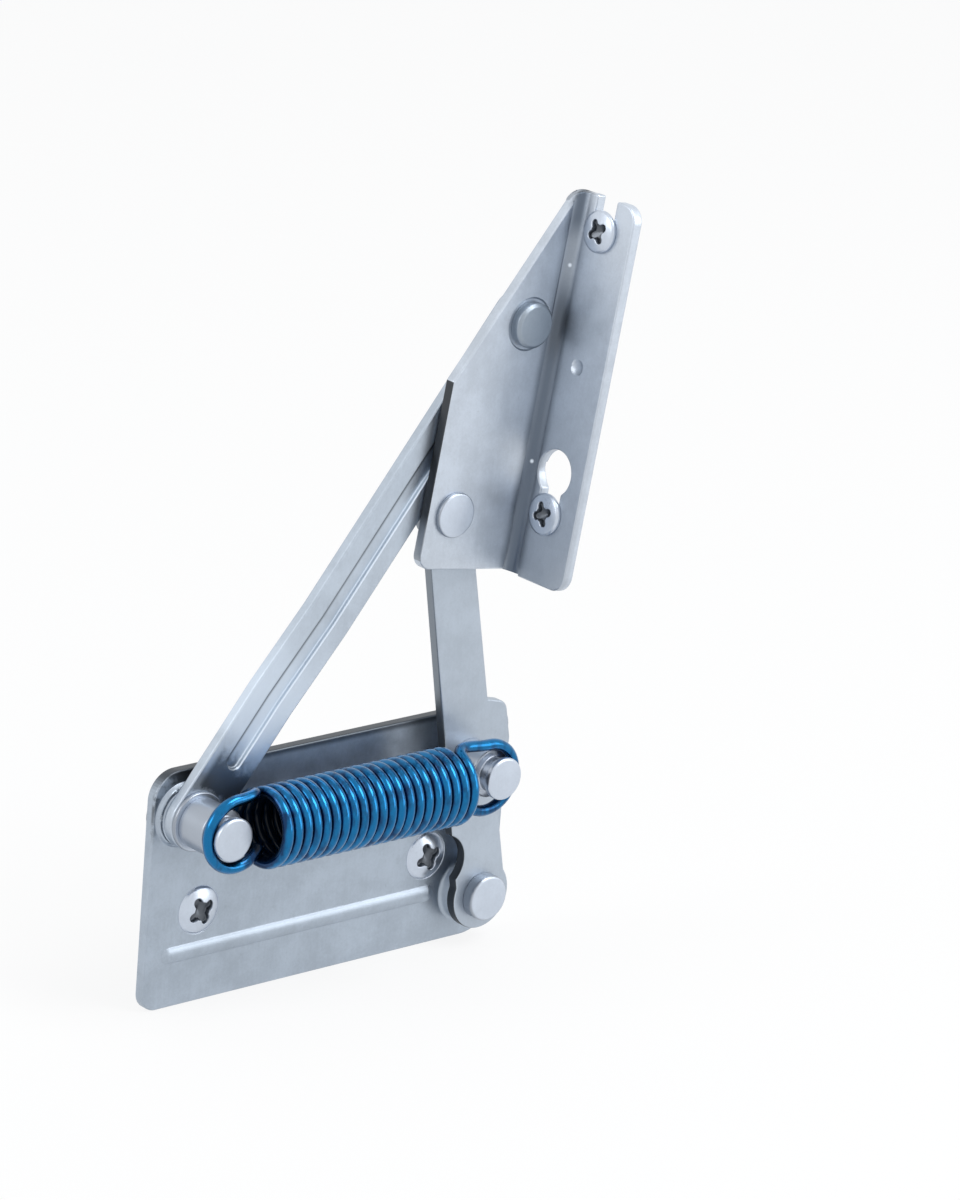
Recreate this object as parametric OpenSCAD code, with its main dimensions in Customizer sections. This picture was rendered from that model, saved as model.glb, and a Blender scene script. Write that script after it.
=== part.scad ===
// Corner bench hinge, shown with the lid open.
// Millimetres. The origin lies midway between the two base screws, on the
// mounting face of the base plate. X runs along the plate, Y into the bench
// panel and Z up.

/* [Base plate] */
// Length of the base plate
plate_len = 78; // [76:0.5:90]
// Height of the base plate
plate_h = 42.4; // [41:0.2:50]
// Thickness of the sheet that every strip and plate is pressed from
sheet = 2; // [1.8:0.05:2.2]
// Spacing of the two base screws
base_pitch = 50; // [48:0.5:54]
// Distance from the plate's left edge to the first base screw
screw_in = 11; // [9:0.25:13]
// Distance from the plate's lower edge to the base screws
screw_up = 16.5; // [15.5:0.25:18]
// Corner radius at the upper corners
plate_r_top = 5; // [3:0.5:6]
// Corner radius at the lower left corner
plate_r_left = 3; // [2:0.5:5]
// Corner radius at the lower right corner
plate_r_right = 7.5; // [4:0.5:8]
// Height of the raised boss under the long arm
boss_a_h = 1.6; // [1.3:0.05:2]
// Height of the raised boss under the short link
boss_b_h = 2.4; // [2.1:0.05:2.8]
// Radius of a boss at its foot
boss_r = 5.8; // [5.4:0.1:6.4]
// Radius of a boss at its flat top
boss_top_r = 4.9; // [4.6:0.1:5.2]
// Width of the pressed bead along the plate
bead_w = 3.2; // [2.6:0.1:3.6]
// Height of the pressed bead
bead_h = 0.6; // [0.45:0.05:0.75]
// Distance from the bead's end to the boss under the short link
bead_end = 1.6; // [1:0.1:3]
// Height of the bead's centre line above the plate's lower edge
bead_up = 9.4; // [8.5:0.1:10]

/* [Linkage] */
// Distance from the plate's left edge to the long arm's lower pivot
pivot_a_in = 6.2; // [5.9:0.1:7]
// Distance from the plate's upper edge to the long arm's lower pivot
pivot_a_down = 7.9; // [7:0.1:9]
// Distance from the plate's right edge to the short link's lower pivot
pivot_b_in = 7.4; // [7:0.1:8]
// Distance from the plate's lower edge to the short link's lower pivot
pivot_b_up = 8.9; // [8.4:0.1:9.4]
// Length of the long arm between its pivots
arm_len = 100.2; // [99:0.1:101.5]
// Length of the short link between its pivots
link_len = 73.9; // [72.5:0.1:75]
// Distance between the lid bracket's two pivots
bracket_len = 34.3; // [33:0.1:36]
// Distance from the link's upper pivot to the flat that stops on the arm
stop_flat = 3.65; // [3.3:0.05:4]
// Running clearance round each pivot
run_clear = 0.05; // [0.02:0.01:0.1]
// Gap between the lid bracket and the strips behind it
layer_gap = 0.3; // [0.2:0.05:0.4]

/* [Long arm] */
// Width of the long arm
arm_w = 10.5; // [10:0.1:11]
// Distance from the lower pivot to the start of the joggle
joggle_start = 24; // [20:0.5:27]
// Length of the joggle along the arm
joggle_len = 16; // [12:0.5:20]
// Distance from the lower pivot to the start of the pressed groove
groove_start = 10.4; // [9.5:0.1:13]
// Distance from the upper pivot to the end of the pressed groove
groove_stop = 12.2; // [9:0.1:20]
// Width of the pressed groove
groove_w = 3; // [2.4:0.1:3.6]
// Depth of the pressed groove
groove_d = 0.7; // [0.5:0.05:0.8]

/* [Short link] */
// Radius of the short link's upper end
link_half_w = 5.25; // [5:0.05:5.5]
// Distance from the link's centre line to its right edge
strip_right = 5.6; // [5.4:0.05:5.8]
// Distance from the link's centre line to its left edge at the upper end
strip_left = 3.9; // [3.7:0.05:4.4]
// Radius of the short link's lower end
link_end_r = 6.2; // [5.8:0.1:6.6]
// Reach of the spring lug beyond the link's centre line
lug_reach = 9.6; // [9.2:0.1:10]
// Distance from the spring post's axis to the top of its lug
lug_past = 10; // [8.5:0.5:12]
// Slope of the lug's upper edge
lug_slope = 26; // [15:1:30]
// Corner radius of the spring lug
lug_r = 2.5; // [1.5:0.1:3]
// Clearance of the link's hollow round the base screw's head
head_clear = 0.7; // [0.5:0.05:0.9]
// Gap between the link's stop flat and the arm's edge with the lid open
stop_gap = 0.1; // [0.05:0.01:0.2]

/* [Lid bracket] */
// Reach of the flange in front of the bracket's back face
flange_depth = 15; // [14.4:0.1:18]
// Distance from the lower pivot to the flange's outer face
pivot_in = 17.55; // [17:0.05:18.5]
// Distance from the upper pivot to the flange's outer face
top_pivot_in = 8.55; // [8.2:0.05:9]
// Height of the flange's top above the upper pivot
top_past = 23.3; // [22.5:0.1:26]
// Drop from the lower pivot to the bracket's lower edge
bracket_foot = 9.65; // [8.6:0.05:11]
// Drop of the flange's lower edge below the plate's lower edge
flange_drop = 0.8; // [0.4:0.1:1.2]
// Width of the bracket's plate from the flange's outer face
bracket_w = 23.3; // [22.8:0.1:24.5]
// Tilt of the bracket's slanted edge against the flange
edge_tilt = 31.6; // [30:0.2:33]
// Distance from the slanted edge to the upper pivot
edge_margin = 7.2; // [6.6:0.1:8]
// Radius of the bracket's lower left corner
bracket_r = 2.5; // [1.5:0.1:3.5]
// Radius of the flange's free corners
flange_r = 3; // [2:0.1:3.5]
// Radius of the small dimple in the flange
dimple_r = 1.5; // [1.1:0.05:1.7]
// Depth of the small dimple in the flange
dimple_d = 0.4; // [0.3:0.05:0.6]
// Height of the dimple above the lower lid screw
dimple_up = 25.75; // [20:0.25:30]
// Inner radius of the bend between plate and flange
bend_r = 1.9; // [1.5:0.05:1.95]
// Spacing of the two lid screws along the flange
lid_pitch = 49; // [47.5:0.25:50]
// Height of the lower lid screw above the lower pivot
lid_screw_low = 1.65; // [1.4:0.05:2.4]
// Distance from the bracket's back face to the line of the lid screws
lid_line = 7.8; // [7.75:0.05:8.6]
// Height of the keyhole's big hole above the lower lid screw
keyhole_up = 7.25; // [6.6:0.05:8]
// Clearance of the keyhole's big hole round a lid screw's head
keyhole_clear = 0.15; // [0.1:0.05:0.3]
// Clearance of both screw slots on each side of a lid screw
slot_clear = 0.6; // [0.5:0.05:0.7]
// Depth of the coined seat round the upper pivot
coin_d = 0.3; // [0.2:0.05:0.4]
// Width of the coined seat that shows round the upper rivet's head
coin_clear = 0.6; // [0.4:0.05:0.65]

/* [Posts and rivets] */
// Radius of a grooved post's shaft
post_r = 4.4; // [4.2:0.05:4.6]
// Radius of a grooved post's head
post_head_r = 3.75; // [3.5:0.05:4.2]
// Thickness of a grooved post's head
post_head_t = 1.2; // [1:0.05:1.5]
// Radius at the bottom of the post's groove
post_groove_r = 2.85; // [2.6:0.05:3.1]
// Width of the post's groove
post_groove_w = 2.3; // [2.1:0.05:2.5]
// Radius of a post's stub through the sheet
stub_r = 2.9; // [2.6:0.05:3.1]
// Radius of the washer between post and arm
washer_r = 5.2; // [5:0.05:5.25]
// Thickness of the washer between post and arm
washer_t = 0.8; // [0.6:0.05:1]
// Distance from the link's lower pivot to the link's post
post_e_up = 26; // [25:0.1:27]
// Radius of the base rivet's head
base_rivet_r = 4.1; // [3.8:0.05:4.4]
// Thickness of the base rivet's head
base_rivet_t = 2.2; // [1.8:0.05:2.4]
// Radius of the lid bracket's rivet heads
lid_rivet_r = 3.95; // [3.7:0.05:4.2]
// Thickness of the lower lid rivet's flat head
low_rivet_t = 0.8; // [0.6:0.05:1.2]
// Thickness of the upper lid rivet's head above its coined seat
top_rivet_t = 2; // [1.6:0.05:2.4]
// Radius of each rivet's shank
rivet_r = 2.5; // [2.3:0.05:2.8]

/* [Tension spring] */
// Outer diameter of the spring
spring_od = 13.9; // [13:0.1:14]
// Wire thickness, kept under the pitch so that the turns stay apart
wire_d = 1.55; // [1.4:0.01:1.6]
// Gap between neighbouring turns
turn_gap = 0.44; // [0.42:0.01:0.6]
// Distance from the fixed post's axis to the first turn
body_in_a = 6.6; // [6.4:0.1:7]
// Distance from the link post's axis to the last turn
body_in_e = 9.9; // [9.6:0.1:10.2]
// Radius of the bend between a loop and the body
loop_bend = 2.2; // [1.8:0.1:2.6]
// Angle that each end loop covers
loop_sweep = 235; // [215:5:240]
// Gap between the spring's back and the link's front face
spring_clear = 0.3; // [0.15:0.01:0.5]
// Gap between a loop and the bottom of its groove
loop_seat = 0.15; // [0.05:0.01:0.3]

/* [Screws] */
// Head radius of the base screws
base_head_r = 4.3; // [4:0.05:4.5]
// Thread radius of the base screws
base_shank_r = 2.25; // [2:0.05:2.4]
// Head radius of the lid screws
lid_head_r = 3.8; // [3.6:0.05:3.85]
// Thread radius of the lid screws
lid_shank_r = 1.75; // [1.6:0.05:1.77]
// Step from a lid screw's thread in to its plain neck
neck_in = 0.2; // [0.1:0.05:0.4]
// Straight side of a lid screw's head
lid_side = 0.25; // [0.15:0.05:0.5]
// Height of the dome on a lid screw's head
lid_dome = 0.75; // [0.6:0.05:1.2]
// Height of a base screw's domed head in front of the plate
dome_h = 1.2; // [0.9:0.05:1.4]
// Length of a screw past the plate it holds
screw_past = 4.4; // [3.5:0.1:5]

/* [Hidden] */
$fn = 96;

steel = "#b7c3d1";
steel_dim = "#a5b0bc";
bright = "#cdd5e4";
blue = "#1a6fb0";

// Depths of the layers. Y falls towards the viewer.
plate_front = -sheet;
arm_back = plate_front - boss_a_h;
link_back = plate_front - boss_b_h;
link_front = link_back - sheet;
bracket_back = link_front - layer_gap;
bracket_front = bracket_back - sheet;
flange_edge = bracket_back - flange_depth;
joggle = boss_b_h - boss_a_h;

// Plate corners
plate_x0 = -screw_in - base_pitch / 2;
plate_x1 = plate_x0 + plate_len;
plate_z0 = -screw_up;
plate_z1 = plate_z0 + plate_h;
bead_z = plate_z0 + bead_up;

// Longer than any piece, for cuts that go right through
far = 2 * arm_len;

// The four pivots of the linkage, with the lid open. The lid bracket's lower
// pivot lies beside the arm, where the link's flat stops on the arm's edge.
pa = [plate_x0 + pivot_a_in, plate_z1 - pivot_a_down];
pb = [plate_x1 - pivot_b_in, plate_z0 + pivot_b_up];
beside = arm_w / 2 + stop_gap + stop_flat;
below = sqrt(bracket_len * bracket_len - beside * beside);
ab = pb - pa;
ab_len = norm(ab);
ad_len = norm([arm_len - below, beside]);
ad_in = (ad_len * ad_len - link_len * link_len + ab_len * ab_len)
        / (2 * ab_len);
ad_up = sqrt(ad_len * ad_len - ad_in * ad_in);
pd = pa + ab * ad_in / ab_len + ad_up / ab_len * [-ab[1], ab[0]];
arm_angle = atan2(pd[1] - pa[1], pd[0] - pa[0])
            + atan2(beside, arm_len - below);
pc = pa + arm_len * [cos(arm_angle), sin(arm_angle)];
link_angle = atan2(pd[1] - pb[1], pd[0] - pb[0]);
pe = pb + post_e_up * [cos(link_angle), sin(link_angle)];

// The bracket's own axes: u runs out through the flange and w up along it,
// from the point of the flange's outer face that is level with the lower pivot
pivot_du = pivot_in - top_pivot_in;
top_w = sqrt(bracket_len * bracket_len - pivot_du * pivot_du);
flange_top = top_w + top_past;
lean = atan2(top_w, pivot_du) - atan2(pc[1] - pd[1], pc[0] - pd[0]);
datum = pd + pivot_in * [cos(lean), -sin(lean)];
edge_u = -top_pivot_in - edge_margin * cos(edge_tilt);
edge_w = top_w + edge_margin * sin(edge_tilt);
keyhole_r = lid_head_r + keyhole_clear;
slot_w = 2 * (lid_shank_r + slot_clear);
coin_r = lid_rivet_r + coin_clear;
lid_y = bracket_back - lid_line;

// Spring route, in the plane through both posts
groove_y = link_front - spring_clear - spring_od / 2;
head_y = groove_y - post_groove_w / 2 - post_head_t;
coil_r = (spring_od - wire_d) / 2;
span = norm(pe - pa);
tilt = atan2(pe[1] - pa[1], pe[0] - pa[0]);
loop_in = coil_r - wire_d / 2 - post_groove_r - loop_seat;
coil_x0 = body_in_a;
coil_x1 = span - body_in_e;
turns = floor((coil_x1 - coil_x0) / (wire_d + turn_gap));
pitch = (coil_x1 - coil_x0) / turns;
skip = asin(loop_bend / coil_r);

// A flat shape drawn in X and Z, from back face y to back face minus t
module slab(y, t) {
    translate([0, y, 0]) rotate([90, 0, 0]) linear_extrude(t) children();
}

// A round piece along Y at point p, from y towards the viewer
module pin(p, y, t, r) {
    translate([p[0], y, p[1]]) rotate([90, 0, 0]) cylinder(r = r, h = t);
}

// The same with two radii, r1 at the back
module taper(p, y, t, r1, r2) {
    translate([p[0], y, p[1]]) rotate([90, 0, 0])
        cylinder(r1 = r1, r2 = r2, h = t);
}

// What lies outside a rounded corner whose sides run back along sx and sy
module corner_cut(x, y, r, sx, sy) {
    translate([x, y]) scale([sx, sy]) difference() {
        translate([-1, -1]) square(r + 1);
        translate([r, r]) circle(r);
    }
}

// A stadium outline between two points of one height
module stadium(x0, x1, r) {
    translate([x0, -r]) square([x1 - x0, 2 * r]);
    translate([x0, 0]) circle(r);
    translate([x1, 0]) circle(r);
}

// The bracket's own axes laid into the shared frame
module on_bracket() {
    translate([datum[0], 0, datum[1]]) rotate([0, lean, 0]) children();
}

// The long arm's own axes, X from the lower to the upper pivot
module on_arm() {
    translate([pa[0], 0, pa[1]]) rotate([0, -arm_angle, 0]) children();
}

// The short link's own axes, X from the lower to the upper pivot
module on_link() {
    translate([pb[0], 0, pb[1]]) rotate([0, -link_angle, 0]) children();
}

// A pressed boss, drawn at depth y
module boss_form(p, y, t) {
    taper(p, y, t, boss_r, boss_top_r);
}

// The pressed bead, drawn with its foot at depth y
module bead_form(y) {
    r = (bead_w * bead_w / 4 + bead_h * bead_h) / (2 * bead_h);
    x0 = plate_x0 + 3.5 + bead_w / 2;
    x1 = pb[0] - boss_r - bead_end - bead_w / 2;
    translate([0, y + r - bead_h, bead_z]) {
        translate([x0, 0, 0]) rotate([0, 90, 0])
            cylinder(r = r, h = x1 - x0);
        for (x = [x0, x1]) translate([x, 0, 0]) sphere(r);
    }
}

module base_plate() {
    color(steel) difference() {
        union() {
            slab(0, sheet) difference() {
                translate([plate_x0, plate_z0]) square([plate_len, plate_h]);
                corner_cut(plate_x0, plate_z0, plate_r_left, 1, 1);
                corner_cut(plate_x1, plate_z0, plate_r_right, -1, 1);
                corner_cut(plate_x0, plate_z1, plate_r_top, 1, -1);
                corner_cut(plate_x1, plate_z1, plate_r_top, -1, -1);
            }
            boss_form(pa, plate_front, boss_a_h);
            boss_form(pb, plate_front, boss_b_h);
            intersection() {
                bead_form(plate_front);
                slab(-sheet / 2, 2 * sheet) translate([plate_x0, plate_z0])
                    square([plate_len, plate_h]);
            }
        }
        // Hollows that the press leaves at the back
        taper(pa, 0, boss_a_h, boss_r, boss_top_r);
        taper(pb, 0, boss_b_h, boss_r, boss_top_r);
        bead_form(0);
        pin(pa, 1, far, stub_r);
        pin(pb, 1, far, rivet_r);
        for (x = [-base_pitch / 2, base_pitch / 2]) {
            pin([x, 0], 1, far, base_shank_r + 0.1);
            taper([x, 0], 0, sheet, base_shank_r + 0.1, base_head_r + 0.05);
        }
    }
}

// A strip that follows the arm's joggle, from a below to b above its back face
module arm_run(a, b) {
    x1 = joggle_start;
    x2 = joggle_start + joggle_len;
    translate([0, 0, -arm_w]) linear_extrude(2 * arm_w) polygon([
        [-arm_w, arm_back + b], [x1, arm_back + b],
        [x2, arm_back - joggle + b], [far, arm_back - joggle + b],
        [far, arm_back - joggle + a], [x2, arm_back - joggle + a],
        [x1, arm_back + a], [-arm_w, arm_back + a]]);
}

module long_arm() {
    groove_end = arm_len - groove_stop;
    color(steel_dim) on_arm() difference() {
        union() {
            intersection() {
                slab(0, far) stadium(0, arm_len, arm_w / 2);
                arm_run(0, -sheet);
            }
            // Ridge that the groove raises at the back
            intersection() {
                slab(0, far) stadium(groove_start + groove_w / 2,
                                     groove_end - groove_w / 2,
                                     groove_w / 2 - 0.5);
                arm_run(groove_d, -0.5);
            }
        }
        intersection() {
            slab(0, far) stadium(groove_start + groove_w / 2,
                                 groove_end - groove_w / 2, groove_w / 2);
            arm_run(groove_d - sheet, -2 * sheet);
        }
        pin([0, 0], 1, far, stub_r + run_clear);
        pin([arm_len, 0], 1, far, rivet_r);
    }
}

module short_link() {
    // Inner corner of the lug's upper edge, the way out from that edge, and the
    // centre of the lug's corner, which touches the upper and the right edge
    root = [post_e_up + lug_past, -strip_right];
    out = [cos(lug_slope), -sin(lug_slope)];
    lug_y = lug_r - lug_reach;
    lug = [(root * out - lug_r - lug_y * out[1]) / out[0], lug_y];
    color(steel) difference() {
        on_link() slab(link_back, sheet) difference() {
            union() {
                circle(link_end_r);
                // Strip, with a lug for the spring post on its right
                polygon([[0, -strip_right], [post_e_up / 2, -strip_right],
                         [post_e_up + 1, -lug_reach], [lug[0], -lug_reach],
                         lug + lug_r * out, root,
                         [link_len - 3, -strip_right],
                         [link_len, -link_half_w], [link_len, strip_left],
                         [link_end_r, link_half_w], [0, link_half_w]]);
                translate([link_len, 0]) circle(link_half_w);
                translate(lug) circle(lug_r);
            }
            circle(rivet_r + run_clear);
            translate([link_len, 0]) circle(rivet_r);
            translate([post_e_up, 0]) circle(stub_r);
        }
        // Flat that meets the arm's edge as the open stop
        translate([pd[0], 0, pd[1]]) rotate([0, -arm_angle, 0])
            slab(0, far) translate([-arm_w, stop_flat])
                square([2 * arm_w, arm_w]);
        pin([base_pitch / 2, 0], 0, far, base_head_r + head_clear);
    }
}

// Height of the bracket's slanted edge at u
function edge_at(u) = edge_w + (u - edge_u) / tan(edge_tilt);

module bracket_outline() {
    // The top corner is a curve between the flange's top and the slanted edge
    ro = bend_r + sheet;
    peak = [edge_u + (flange_top - edge_w) * tan(edge_tilt), flange_top];
    start = [peak[0] / 3, flange_top];
    end = [peak[0] - 1.4, edge_at(peak[0] - 1.4)];
    polygon(concat([[bracket_r - bracket_w, -bracket_foot],
                    [-ro, -bracket_foot],
                    [0, -bracket_foot - flange_drop]],
                   [for (t = [0 : 0.2 : 1]) (1 - t) ^ 2 * start
                       + 2 * t * (1 - t) * peak + t ^ 2 * end],
                   [[-bracket_w, edge_at(-bracket_w)],
                    [-bracket_w, bracket_r - bracket_foot]]));
    translate([bracket_r - bracket_w, bracket_r - bracket_foot])
        circle(bracket_r);
}

module lid_bracket() {
    ri = bend_r;
    ro = bend_r + sheet;
    foot = bracket_foot + flange_drop;
    h = flange_top + foot;
    dent_r = (dimple_r * dimple_r + dimple_d * dimple_d) / (2 * dimple_d);
    color(steel) difference() {
        on_bracket() difference() {
            union() {
                // Plate part, stopped where the bend begins
                slab(bracket_back, sheet) intersection() {
                    bracket_outline();
                    translate([-far, -far]) square([far - ro, 2 * far]);
                }
                // Bend, as a quarter of a tube
                intersection() {
                    translate([-ro, bracket_back - ro, -foot])
                        difference() {
                            cylinder(r = ro, h = h);
                            translate([0, 0, -1]) cylinder(r = ri, h = h + 2);
                        }
                    translate([-ro, bracket_back - ro, -foot])
                        cube([ro, ro, h]);
                    slab(bracket_back, far) bracket_outline();
                }
                // Flange with two rounded free corners
                translate([-sheet, 0, 0]) rotate([90, 0, 90])
                    linear_extrude(sheet) difference() {
                        translate([flange_edge, -foot])
                            square([flange_depth - ro, h]);
                        corner_cut(flange_edge, -foot,
                                   flange_r, 1, 1);
                        corner_cut(flange_edge, flange_top,
                                   flange_r, 1, -1);
                    }
            }
            // Keyhole for the lower lid screw
            translate([-bracket_w / 2, 0, 0]) rotate([90, 0, 90])
                linear_extrude(bracket_w) {
                translate([lid_y, lid_screw_low + keyhole_up])
                    circle(keyhole_r);
                translate([lid_y, lid_screw_low]) circle(slot_w / 2);
                translate([lid_y - slot_w / 2, lid_screw_low])
                    square([slot_w, keyhole_up]);
                // Open slot for the upper lid screw
                translate([lid_y, lid_screw_low + lid_pitch])
                    circle(slot_w / 2);
                translate([lid_y - slot_w / 2,
                           lid_screw_low + lid_pitch])
                    square([slot_w, far]);
            }
        }
        // Small dimple that the press leaves in the flange's inner face
        on_bracket() translate([-sheet - dent_r + dimple_d, lid_y - 0.5,
                                lid_screw_low + dimple_up]) sphere(dent_r);
        pin(pd, 0, far, rivet_r + run_clear);
        pin(pc, 0, far, rivet_r);
        pin(pc, bracket_front + coin_d, sheet, coin_r);
    }
}

// A grooved post standing on face y, head included
module post_body(p, y) {
    y1 = groove_y + post_groove_w / 2;
    pin(p, y, y - y1, post_r);
    pin(p, y1 + 0.5, post_groove_w + 1, post_groove_r);
    pin(p, head_y + post_head_t, post_head_t, post_head_r);
}

module spring_post() {
    color(bright) {
        post_body(pa, arm_back - sheet - washer_t);
        pin(pa, -0.4, -0.4 - arm_back + sheet + washer_t + 0.5, stub_r);
        pin(pa, -0.4, boss_a_h - 0.4, stub_r + 0.8);
    }
}

module arm_washer() {
    color(bright) difference() {
        pin(pa, arm_back - sheet, washer_t, washer_r);
        pin(pa, 0, far, stub_r + run_clear);
    }
}

module link_spring_post() {
    color(bright) {
        post_body(pe, link_front);
        pin(pe, link_back, sheet + 0.5, stub_r);
        pin(pe, link_back + 0.9, 0.9, stub_r + 0.8);
    }
}

module base_rivet() {
    color(bright) {
        pin(pb, link_front, base_rivet_t - 0.4, base_rivet_r);
        taper(pb, link_front - base_rivet_t + 0.4, 0.4,
              base_rivet_r, base_rivet_r - 0.4);
        pin(pb, -0.6, -0.6 - link_front + 0.5, rivet_r);
        pin(pb, -0.6, boss_b_h - 0.6, rivet_r + 1);
    }
}

module lower_lid_rivet() {
    color(bright) {
        pin(pd, bracket_front, low_rivet_t, lid_rivet_r);
        pin(pd, link_back + 0.8, link_back + 0.8 - bracket_front + 0.4, rivet_r);
        pin(pd, link_back + 0.8, 0.8, rivet_r + 1);
    }
}

module upper_lid_rivet() {
    seat = bracket_front + coin_d;
    color(steel_dim) {
        pin(pc, seat, top_rivet_t - 0.5, lid_rivet_r);
        taper(pc, seat - top_rivet_t + 0.5, 0.5,
              lid_rivet_r, lid_rivet_r - 0.6);
        pin(pc, bracket_back, sheet, rivet_r);
    }
}

module upper_rivet_tail() {
    color(steel_dim) {
        pin(pc, link_back, sheet, rivet_r);
        pin(pc, link_back + 0.8, 0.8, rivet_r + 1);
    }
}

// A raised countersunk head with a short shank, along Z. The plate's front
// face lies at Z 0 and the head's dome above it.
module screw(head, shank, past) {
    dome = (head * head + dome_h * dome_h) / (2 * dome_h);
    intersection() {
        translate([0, 0, dome_h - dome]) sphere(dome);
        cylinder(r = head, h = 5);
    }
    translate([0, 0, -sheet]) cylinder(r1 = shank, r2 = head, h = sheet);
    translate([0, 0, -sheet - past]) cylinder(r = shank, h = past + sheet);
}

module base_screws() {
    color(bright) for (x = [-base_pitch / 2, base_pitch / 2])
        translate([x, plate_front, 0]) rotate([90, 0, 0])
            screw(base_head_r, base_shank_r, screw_past);
}

// A domed head that sits on the flange's inner face
module lid_screw() {
    dome = (lid_head_r * lid_head_r + lid_dome * lid_dome) / (2 * lid_dome);
    intersection() {
        translate([0, 0, lid_dome - dome + lid_side]) sphere(dome);
        cylinder(r = lid_head_r, h = 5);
    }
    translate([0, 0, -sheet - screw_past])
        cylinder(r = lid_shank_r, h = screw_past);
    translate([0, 0, -sheet - 0.1])
        cylinder(r = lid_shank_r - neck_in, h = sheet + 0.3);
}

module lid_screws() {
    color(bright) on_bracket()
        for (w = [lid_screw_low, lid_screw_low + lid_pitch])
            translate([-sheet, lid_y, w]) rotate([0, -90, 0]) lid_screw();
}

// Route of the spring's wire from the fixed post's loop to the link's loop.
// Local axes: X along the span, Y as the shared frame, Z up.
function unit(v) = v / norm(v);
function turn_pt(t) = let (a = 360 * t)
    [coil_x0 + pitch * t, coil_r * sin(a), coil_r * cos(a)];
function bezier(p, q, r, s, t) = (1 - t) ^ 3 * p + 3 * (1 - t) ^ 2 * t * q
    + 3 * (1 - t) * t ^ 2 * r + t ^ 3 * s;
t0 = skip / 360;
t1 = turns - skip / 360;
h0 = turn_pt(t0);
h1 = turn_pt(t1);
k = loop_bend * 0.6;
loop_a = [for (i = [0 : 15]) let (a = 90 + loop_sweep * (1 - i / 15))
    [loop_in + coil_r * cos(a), 0, coil_r * sin(a)]];
loop_e = [for (i = [0 : 15]) let (a = 90 - loop_sweep * i / 15)
    [span - loop_in + coil_r * cos(a), 0, coil_r * sin(a)]];
bend_a = let (s = [coil_x0 - loop_bend, 0, coil_r])
    [for (i = [0 : 3]) bezier(s, s + [k, 0, 0],
        h0 - k * [0, cos(skip), -sin(skip)], h0, i / 4)];
bend_e = let (s = [coil_x1 + loop_bend, 0, coil_r])
    [for (i = [1 : 4]) bezier(h1, h1 + k * [0, cos(skip), sin(skip)],
        s - [k, 0, 0], s, i / 4)];
steps = round(8 * (t1 - t0));
body = [for (i = [0 : steps]) turn_pt(t0 + (t1 - t0) * i / steps)];
route = concat(loop_a, bend_a, body, bend_e, loop_e);
count = len(route);
along = [for (i = [0 : count - 1])
    unit(route[min(i + 1, count - 1)] - route[max(i - 1, 0)])];
function across(n, t) = unit(n - (n * t) * t);
sides = [for (i = 0, n = across([0, 1, 0], along[0]); i < count;
    i = i + 1, n = across(n, along[min(i, count - 1)])) n];
skin = [for (i = [0 : count - 1]) for (j = [0 : 5])
    route[i] + wire_d / 2 * (cos(60 * j) * sides[i]
        + sin(60 * j) * cross(along[i], sides[i]))];
walls = [for (i = [0 : count - 2]) for (j = [0 : 5])
    let (a = 6 * i + j, b = 6 * i + (j + 1) % 6)
    each [[a, a + 6, b], [b, a + 6, b + 6]]];
caps = concat([for (j = [1 : 4]) [0, j, j + 1]],
    [for (j = [1 : 4]) let (e = 6 * (count - 1)) [e, e + j + 1, e + j]]);

// Least gap between parts of the wire that lie five rings or more apart
least_gap = min([for (i = [0 : count - 6]) for (j = [i + 5 : count - 1])
    norm(route[i] - route[j])]) - wire_d;
echo("least gap of the spring to itself, in mm", least_gap);

module tension_spring() {
    color(blue) translate([pa[0], groove_y, pa[1]]) rotate([0, -tilt, 0])
        polyhedron(skin, concat(walls, caps), convexity = 10);
}

base_plate();
long_arm();
short_link();
lid_bracket();
tension_spring();
spring_post();
link_spring_post();
arm_washer();
base_rivet();
lower_lid_rivet();
upper_lid_rivet();
upper_rivet_tail();
base_screws();
lid_screws();
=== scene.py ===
"""Looks of the corner bench hinge: pressed steel, turned rivets and posts, wound spring, stage."""

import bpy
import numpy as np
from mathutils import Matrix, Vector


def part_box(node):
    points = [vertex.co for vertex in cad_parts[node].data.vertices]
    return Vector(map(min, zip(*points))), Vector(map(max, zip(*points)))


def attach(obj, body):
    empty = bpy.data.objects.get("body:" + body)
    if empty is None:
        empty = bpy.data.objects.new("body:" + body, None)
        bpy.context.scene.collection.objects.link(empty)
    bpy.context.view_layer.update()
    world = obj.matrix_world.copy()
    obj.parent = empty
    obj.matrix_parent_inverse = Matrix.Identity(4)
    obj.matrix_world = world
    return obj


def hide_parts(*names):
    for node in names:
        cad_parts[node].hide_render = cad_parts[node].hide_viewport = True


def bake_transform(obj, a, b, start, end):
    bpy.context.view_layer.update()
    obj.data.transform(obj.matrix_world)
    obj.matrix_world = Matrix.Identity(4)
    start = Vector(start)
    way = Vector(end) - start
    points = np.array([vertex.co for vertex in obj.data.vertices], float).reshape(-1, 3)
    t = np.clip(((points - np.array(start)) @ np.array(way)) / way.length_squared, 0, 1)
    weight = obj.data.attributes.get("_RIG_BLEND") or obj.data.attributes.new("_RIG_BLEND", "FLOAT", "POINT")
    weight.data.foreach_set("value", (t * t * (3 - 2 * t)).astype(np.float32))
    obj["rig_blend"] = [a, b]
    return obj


bl_info = {
    "name": "Corner Bench Hinge",
    "version": (1, 0, 0),
    "blender": (4, 5, 0),
    "location": "3D View > Sidebar > Bench Hinge",
    "description": "Dresses the corner bench hinge in zinc-plated steel with a blue tension spring",
    "category": "Mesh",
}

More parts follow.
